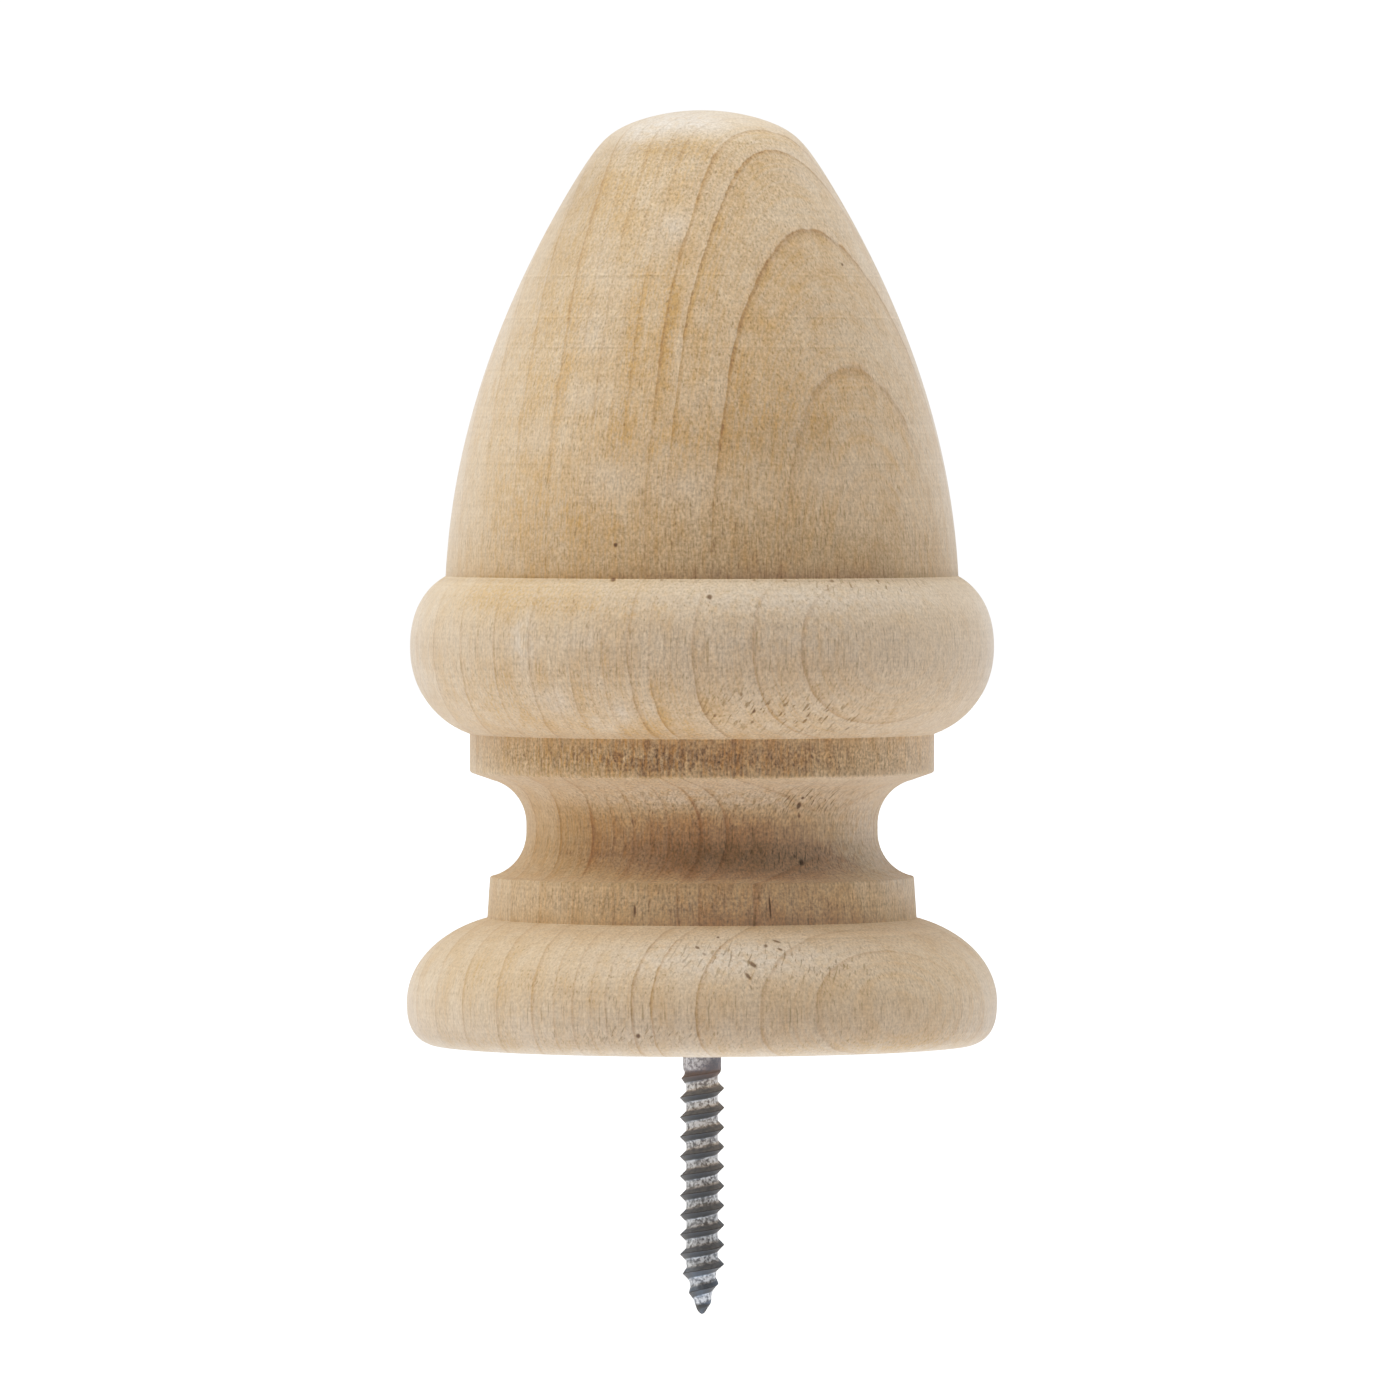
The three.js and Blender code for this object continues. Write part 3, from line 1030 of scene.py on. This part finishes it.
@dataclass
class WoodTurning:
    """The turned acorn: one outline carried round the axis, from the blind hole under it to its tip."""

    base_radius: float = 44.0
    base_height: float = 18.8
    base_widest_at: float = 6.3
    seat_edge_inset: float = 3.4
    lower_band_radius: float = 32.0
    lower_band_height: float = 6.15
    lower_band_taper: float = 0.4
    throat_radius: float = 26.2
    throat_length: float = 1.3
    cove_radius: float = 6.7
    upper_band_radius: float = 34.6
    upper_band_height: float = 5.7
    quirk_width: float = 3.3
    quirk_height: float = 1.15
    cup_radius: float = 43.5
    cup_height: float = 23.5
    cup_widest_at: float = 12.9
    nut_radius: float = 38.2
    nut_height: float = 69.3
    nut_foot_slope: float = 0.05
    nut_tip_radius: float = 12.1
    nose_radius: float = 30.5
    shoulder_softness: float = 1.6
    nose_height: float = 9.0
    hole_radius: float = 3.18
    hole_depth: float = 37.5
    base_upper: Swell = Swell(6.0, 2.0, 30)
    base_lower: Swell = Swell(2.6, 2.6, 14)
    cup_upper: Swell = Swell(5.1, 2.2, 22)
    cup_lower: Swell = Swell(4.6, 2.05, 24)
    cove_rows: int = 17
    band_rows: int = 8
    quirk_rows: int = 4
    seat_rows: int = 22
    nut_side_rows: int = 66
    nose_rows: int = 24
    sides: int = 360
    arris_radius: float = 0.35
    arris_rows: int = 3
    arris_leg_share: float = 0.45
    corner_degrees: float = 22.0
    sharp_degrees: float = 40.0
    least_fuzz: float = 0.9
    # Each row is a height and how clearly the rings show there.
    ring_clarity: tuple[Pair, ...] = (
        (0, 0.8), (16, 0.85), (18, 0.6), (19, 0.5), (25, 0.5), (26, 0.7), (30, 0.9), (36, 1.1), (40, 0.9),
        (41, 0.4), (46, 0.4), (47, 0.9), (54, 0.8), (66, 0.65), (70, 0.2), (84, 0.3), (98, 0.8), (139, 0.9),
    )
    rings: GrowthRings = field(default_factory=GrowthRings)
    finish: BareWoodFinish = field(default_factory=BareWoodFinish)

    def cove(self, lower_edge: Pair) -> Array:
        """Hollows the throat: a quarter round in, a short straight, and a quarter round out again.

        On each round the radius is the centre's less the cove's radius times cos(angle). The height is the
        centre's plus the cove's radius times sin(angle).

        Args:
            lower_edge: Radius and height of the lower band's top edge.

        Returns:
            Radius and height of each point.
        """
        centre = self.throat_radius + self.cove_radius
        ends = (lower_edge[0], self.upper_band_radius - self.quirk_width)
        start, end = (math.acos((centre - min(edge, centre)) / self.cove_radius) for edge in ends)
        low_centre = lower_edge[1] + self.cove_radius * math.sin(start)
        angles = [np.linspace(-start, 0.0, self.cove_rows), np.linspace(0.0, end, self.cove_rows)]
        centres = [low_centre, low_centre + self.throat_length]
        return np.vstack(
            [
                np.stack([centre - self.cove_radius * np.cos(a), c + self.cove_radius * np.sin(a)], axis=1)
                for a, c in zip(angles, centres)
            ]
        )

    def nut_radius_at(self, height: Array) -> Array:
        """Gives the nut's radius at heights above its foot.

        The side closes as a parabola, and the top is a paraboloid with the nose's curvature. The radius is
        the smooth minimum of the two, which is the lesser of them, less the softness times
        log(1 + exp(-difference / softness)).

        Args:
            height: Heights above the nut's foot.

        Returns:
            The radius at each height.
        """
        share = height / self.nut_height
        closing = self.nut_radius - self.nut_foot_slope * self.nut_height - self.nut_tip_radius
        side = self.nut_radius - self.nut_foot_slope * height - closing * share**2
        nose = np.sqrt(2.0 * self.nose_radius * np.maximum(self.nut_height - height, 0.0))
        excess = np.exp(-np.abs(side - nose) / self.shoulder_softness)
        return np.maximum(np.minimum(side, nose) - self.shoulder_softness * np.log1p(excess), 0.0)

    def nut(self, foot: float) -> Array:
        """Runs up the nut from just above its foot to just short of its tip.

        Args:
            foot: The foot's height.

        Returns:
            Radius and height of each point, closer together towards the tip.
        """
        side = np.linspace(0.0, self.nut_height - self.nose_height, self.nut_side_rows + 1)[1:]
        left = 1.0 - np.arange(1, self.nose_rows) / self.nose_rows
        height = np.concatenate([side, self.nut_height - self.nose_height * left**2])
        return np.stack([self.nut_radius_at(height), foot + height], axis=1)

    def outline(self) -> Array:
        """Joins the mouldings into one outline.

        Returns:
            Radius and height of each point, from the hole's blind end to just short of the tip.
        """
        seat_edge = (self.base_radius - self.seat_edge_inset, 0.0)
        base_widest = (self.base_radius, self.base_widest_at)
        low_foot = (self.lower_band_radius, self.base_height)
        low_top = (self.lower_band_radius - self.lower_band_taper, self.base_height + self.lower_band_height)
        hollow = self.cove(low_top)
        high_foot = (self.upper_band_radius, hollow[-1, 1] + self.quirk_height)
        high_top = (self.upper_band_radius, high_foot[1] + self.upper_band_height)
        cup_widest = (self.cup_radius, high_top[1] + self.cup_widest_at)
        nut_foot = (self.nut_radius, high_top[1] + self.cup_height)
        seat = np.linspace((self.hole_radius, 0.0), seat_edge, self.seat_rows)
        runs = [
            np.array([(self.hole_radius, self.hole_depth)]),
            seat[:-1],
            self.base_lower.curve(base_widest, seat_edge)[::-1],
            np.array([base_widest]),
            self.base_upper.curve(base_widest, low_foot),
            np.linspace(low_foot, low_top, self.band_rows)[1:-1],
            hollow,
            np.linspace(hollow[-1], high_foot, self.quirk_rows)[1:],
            np.linspace(high_foot, high_top, self.band_rows)[1:-1],
            self.cup_lower.curve(cup_widest, high_top)[::-1],
            np.array([cup_widest]),
            self.cup_upper.curve(cup_widest, nut_foot),
            self.nut(nut_foot[1]),
        ]
        return self.soften(np.vstack(runs))

    def soften(self, outline: Array) -> Array:
        """Rounds the outline's outward corners with a small curve.

        A corner becomes points of (1 - t) squared times the start, 2 t (1 - t) times the corner and t squared
        times the end, where the start and end lie one arris radius from the corner.

        Args:
            outline: Radius and height of each point.

        Returns:
            The outline with each corner replaced.
        """
        legs = np.diff(outline, axis=0)
        length = np.hypot(legs[:, 0], legs[:, 1])
        heading = legs / length[:, None]
        turn = np.degrees(np.arccos(np.clip(np.sum(heading[1:] * heading[:-1], axis=1), -1.0, 1.0)))
        outward = heading[:-1, 0] * heading[1:, 1] - heading[:-1, 1] * heading[1:, 0] > 0.0
        corners = 1 + np.flatnonzero((turn > self.corner_degrees) & outward)
        t = np.linspace(0.0, 1.0, self.arris_rows + 1)[:, None]
        parts, done = [], 0
        for corner in corners:
            reach = min(self.arris_radius, self.arris_leg_share * min(length[corner - 1], length[corner]))
            start = outline[corner] - reach * heading[corner - 1]
            end = outline[corner] + reach * heading[corner]
            parts.append(outline[done:corner])
            parts.append((1 - t) ** 2 * start + 2 * t * (1 - t) * outline[corner] + t**2 * end)
            done = corner + 1
        return np.vstack(parts + [outline[done:]])

    def skin(self) -> RingSkin:
        """Carries the outline round the axis.

        Returns:
            The wood's closed surface.
        """
        outline = self.outline()
        points = around_axis(outline[:, :1], outline[:, 1:], self.sides)
        tip = float(outline[-1, 1] + self.nose_height / self.nose_rows**2)
        return RingSkin(points, (0.0, 0.0, self.hole_depth), (0.0, 0.0, tip))

    def radius_at(self, height: float) -> float:
        """Looks up the turned surface's radius, without the hole and the seat.

        Args:
            height: The height above the seat.

        Returns:
            The radius at that height.
        """
        surface = self.outline()[1:]
        surface = surface[surface[:, 1] > 0.0]
        return float(np.interp(height, surface[:, 1], surface[:, 0]))

    def clarity(self, height: Array, faded: Array) -> Array:
        """Works out how clearly the rings show on each part of the surface.

        Below the nut they hardly show at the viewer's right, where the cut runs along them.

        Args:
            height: The points' heights.
            faded: How far the rings have faded there.

        Returns:
            A share of 0 to 1 for each point.
        """
        heights, shares = zip(*self.ring_clarity)
        return np.interp(height, heights, shares) * (1.0 - np.clip(faded, 0.0, 1.0))

    def build(self) -> bpy.types.Object:
        """Builds the turning, its maps and its finish.

        Returns:
            The finished piece.
        """
        skin = self.skin()
        points = skin.points()
        mesh = skin.mesh("wood_turning", self.sharp_degrees)
        maps = self.rings.maps(points)
        maps |= {name: patch_map(points, group) for name, group in PATCHES.items()}
        maps["way_round"] = self.base_radius * np.arctan2(points[:, 0], -points[:, 1])
        maps["fuzzy"] += self.least_fuzz
        maps["edge_darkness"] *= self.clarity(points[:, 2], maps.pop("faded"))
        for name, values in maps.items():
            keep_map(mesh, name, values)
        return stand_for(Piece.WOOD, mesh, self.finish.material(self.radius_at))


@dataclass
class DowelScrew:
    """The screw: a right-hand thread below the seat, and a plain shank in the wood."""

    thread_radius: float = 3.35
    core_radius: float = 2.38
    shank_radius: float = 2.88
    pitch: float = 2.92
    flank_length: float = 0.98
    exposed: float = 40.4
    shank_exposed: float = 3.72
    embedded: float = 36.0
    shank_runout: float = 1.0
    tip_length: float = 7.5
    tip_crest_power: float = 0.6
    tip_core_power: float = 0.5
    tip_shade: float = 4.0
    rust_height: float = -4.3
    rust_spread: float = 1.0
    sharp_degrees: float = 50.0
    sides: int = 48
    shank_rows: int = 12
    finish: ZincFinish = field(default_factory=ZincFinish)

    def thread_rings(self) -> tuple[Array, Array, Array]:
        """Works out the thread on level rings whose step lets the crest pass from corner to corner.

        The radius is the core's plus the crest's height times one less the distance from the crest over the
        flank's length. Core and crest both close towards the point as a power of the distance from it.

        Returns:
            The rings, each point's share of the thread's height, and where shade is painted: that share again
            below the crest only, and more towards the point.
        """
        step = self.pitch / self.sides
        rows = round((self.exposed - self.shank_exposed) / step)
        row = np.arange(rows)[:, None]
        side = np.arange(self.sides)[None, :]
        z = -self.shank_exposed - row * step
        to_tip = np.maximum(z + self.exposed, 0.0) / self.tip_length
        below = -self.shank_exposed - z
        core, crest = (
            (self.shank_radius + (radius - self.shank_radius) * np.minimum(below / runout, 1.0))
            * np.minimum(to_tip**power, 1.0)
            for radius, runout, power in (
                (self.core_radius, self.shank_runout, self.tip_core_power),
                (self.thread_radius, self.pitch, self.tip_crest_power),
            )
        )
        turned = (row + side) % self.sides
        from_crest = np.minimum(turned, self.sides - turned) * step
        share = np.maximum(1.0 - from_crest / self.flank_length, 0.0)
        radius = core + np.maximum(crest - core, 0.0) * share
        # The lower flanks face down, so they and the point get painted shade.
        shaded_below_crest = np.where(turned < self.sides // 2, share, 0.0)
        shaded_near_tip = 1.0 - np.minimum(to_tip * self.tip_shade, 1.0)
        return around_axis(radius, z, self.sides), share, np.maximum(shaded_below_crest, shaded_near_tip)

    def build(self) -> bpy.types.Object:
        """Builds the screw, its maps and its finish.

        Returns:
            The finished piece.
        """
        thread, share, shaded_below_crest = self.thread_rings()
        shank_z = np.linspace(self.embedded, -self.shank_exposed, self.shank_rows)[:-1, None]
        shank = around_axis(np.full((len(shank_z), 1), self.shank_radius), shank_z, self.sides)
        rings = np.vstack([shank, thread])[::-1]
        skin = RingSkin(rings, (0.0, 0.0, -self.exposed), (0.0, 0.0, self.embedded))
        mesh = skin.mesh("screw_thread", self.sharp_degrees)
        plain = np.zeros((len(shank_z), self.sides))
        for name, values in (("thread", share), ("underside_shade", shaded_below_crest)):
            keep_map(mesh, name, np.append(np.vstack([plain, values])[::-1].ravel(), [0.0, 0.0]))
        z = skin.points()[:, 2]
        keep_map(mesh, "rust", np.exp(-(((z - self.rust_height) / self.rust_spread) ** 2)))
        return stand_for(Piece.SCREW, mesh, self.finish.material())


@dataclass(frozen=True)
class Glow:
    """One soft light in the room.

    Its brightness falls off as exp(sharpness (cosine - 1)), with the cosine of the angle to its middle.

    Attributes:
        towards: Where its middle is, seen from the object. A ring is given as level and upward parts, with
            nothing in the middle, and runs all round at that height.
        level: How bright it is in the middle.
        tint: Its colour.
        sharpness: How narrow it is.
        ring: Whether it runs all round.
    """

    towards: Triple
    level: float
    tint: Colour = (1.0, 1.0, 1.0)
    sharpness: float = 10.0
    ring: bool = False


@dataclass
class Studio:
    """The camera, a plain pale floor, and the soft light of a white room that is dark behind the camera."""

    lens: float = 316.4
    sensor: float = 36.0
    distance: float = 1.832
    eye_height: float = 0.0907
    aim_height: float = 0.0512
    aim_side: float = -0.0003
    floor_height: float = -0.075
    floor_half: float = 6.0
    floor_glow: float = 0.55
    floor_colour: Colour = (0.9, 0.9, 0.9)
    floor_roughness: float = 0.9
    nearest: float = 0.05
    farthest: float = 100.0
    white: float = 1.05
    contrast: float = 1.6
    shoulder: float = 0.3
    curve_points: int = 10
    glows: tuple[Glow, ...] = (
        Glow((0.0, 0.0, 1.0), 4.4),
        Glow((-0.77, 0.0, 0.64), 1.8, (1.04, 0.98, 0.88)),
        Glow((0.77, 0.0, 0.64), 0.3, (0.8, 1.0, 1.1)),
        Glow((0.0, 0.0, -1.0), 2.2, (0.8, 1.0, 1.3)),
        Glow((0.77, 0.0, -0.64), 0.8, (1.08, 1.0, 0.92), ring=True),
        Glow((-0.77, 0.0, -0.64), 0.45),
        Glow((0.0, 1.0, 0.0), 0.8, sharpness=5.0),
        Glow((0.87, 0.5, 0.0), 0.6),
    )

    def camera(self) -> None:
        """Places the camera at the picture's viewing angle."""
        data = bpy.data.cameras.new("picture_camera")
        data.lens = self.lens
        data.sensor_width = self.sensor
        data.clip_start = self.nearest
        data.clip_end = self.farthest
        obj = bpy.data.objects.new("picture_camera", data)
        obj.location = (self.aim_side, -self.distance, self.eye_height)
        pitch = math.atan2(self.eye_height - self.aim_height, self.distance)
        obj.rotation_euler = (math.pi / 2.0 - pitch, 0.0, 0.0)
        bpy.context.scene.collection.objects.link(obj)
        bpy.context.scene.camera = obj

    def floor(self) -> None:
        """Lays the floor, well below the screw's point. The light from below is the room's own."""
        half, z = self.floor_half, self.floor_height
        mesh = bpy.data.meshes.new("pale_floor")
        corners = [(-half, -half, z), (half, -half, z), (half, half, z), (-half, half, z)]
        mesh.from_pydata(corners, [], [(0, 1, 2, 3)])
        material, _, shader = new_finish("pale_floor")
        set_plain(shader, {"Base Color": (*self.floor_colour, 1.0), "Roughness": self.floor_roughness})
        set_plain(shader, {"Emission Color": (1.0, 1.0, 1.0, 1.0), "Emission Strength": self.floor_glow})
        set_plain(shader, {"Specular IOR Level": 0.0})
        mesh.materials.append(material)
        obj = bpy.data.objects.new("pale_floor", mesh)
        for rays in ("visible_diffuse", "visible_glossy", "visible_transmission", "visible_shadow"):
            setattr(obj, rays, False)
        bpy.context.scene.collection.objects.link(obj)

    def glow(self, sheet: ShaderSheet, direction: Socket, glow: Glow) -> Socket:
        """Works out how much light one glow sends from a direction.

        Args:
            sheet: Where the nodes go.
            direction: The direction, or its level and upward parts for a ring.
            glow: The light.

        Returns:
            The light's colour.
        """
        cosine = sheet.vector("DOT_PRODUCT", direction, glow.towards, result="Value")
        fall = sheet.times(sheet.less(cosine, 1.0), glow.sharpness)
        return sheet.lit(glow.tint, sheet.times(sheet.math("EXPONENT", fall), glow.level))

    def room(self) -> None:
        """Lights the room: plain white to the eye, and the sum of the glows as light."""
        world = bpy.data.worlds.new("white_room")
        world.use_nodes = True
        bpy.context.scene.world = world
        sheet = ShaderSheet(world.node_tree)
        back = next(node for node in world.node_tree.nodes if node.type == "BACKGROUND")
        direction = sheet.node("ShaderNodeTexCoord").outputs["Generated"]
        height = sheet.height_of(direction)
        level = sheet.math("SQRT", sheet.math("SUBTRACT", 1.0, sheet.times(height, height), clamp=True))
        rising = sheet.flat_place(level, height)
        total = None
        for glow in self.glows:
            light = self.glow(sheet, rising if glow.ring else direction, glow)
            total = light if total is None else sheet.mix(1.0, total, light, "ADD")
        seen = sheet.node("ShaderNodeLightPath").outputs["Is Camera Ray"]
        sheet.feed(back.inputs["Color"], sheet.mix(seen, total, (self.white,) * 3))
        set_plain(back, {"Strength": 1.0})

    def tone_curve(self) -> None:
        """Gives the picture a camera's contrast.

        The curve is (1 + shoulder) x^contrast / (x^contrast + shoulder): steep in the dark, flat near white.
        """
        view = bpy.context.scene.view_settings
        view.view_transform = "Standard"
        view.use_curve_mapping = True
        points = view.curve_mapping.curves[COMBINED_CURVE].points
        for x in np.linspace(0.0, 1.0, self.curve_points + 1)[1:-1]:
            power = float(x) ** self.contrast
            points.new(float(x), (1.0 + self.shoulder) * power / (power + self.shoulder))
        view.curve_mapping.update()

    def build(self) -> None:
        """Sets up the camera, the floor, the light and the tone curve."""
        self.camera()
        self.floor()
        self.room()
        self.tone_curve()
        LOG.info("studio: camera %.3f m away, %d glows", self.distance, len(self.glows))


def main() -> None:
    """Builds the studio and the two pieces."""
    logging.basicConfig(level=logging.INFO, format="%(name)s: %(message)s")
    Studio().build()
    WoodTurning().build()
    DowelScrew().build()


if __name__ == "__main__":
    main()
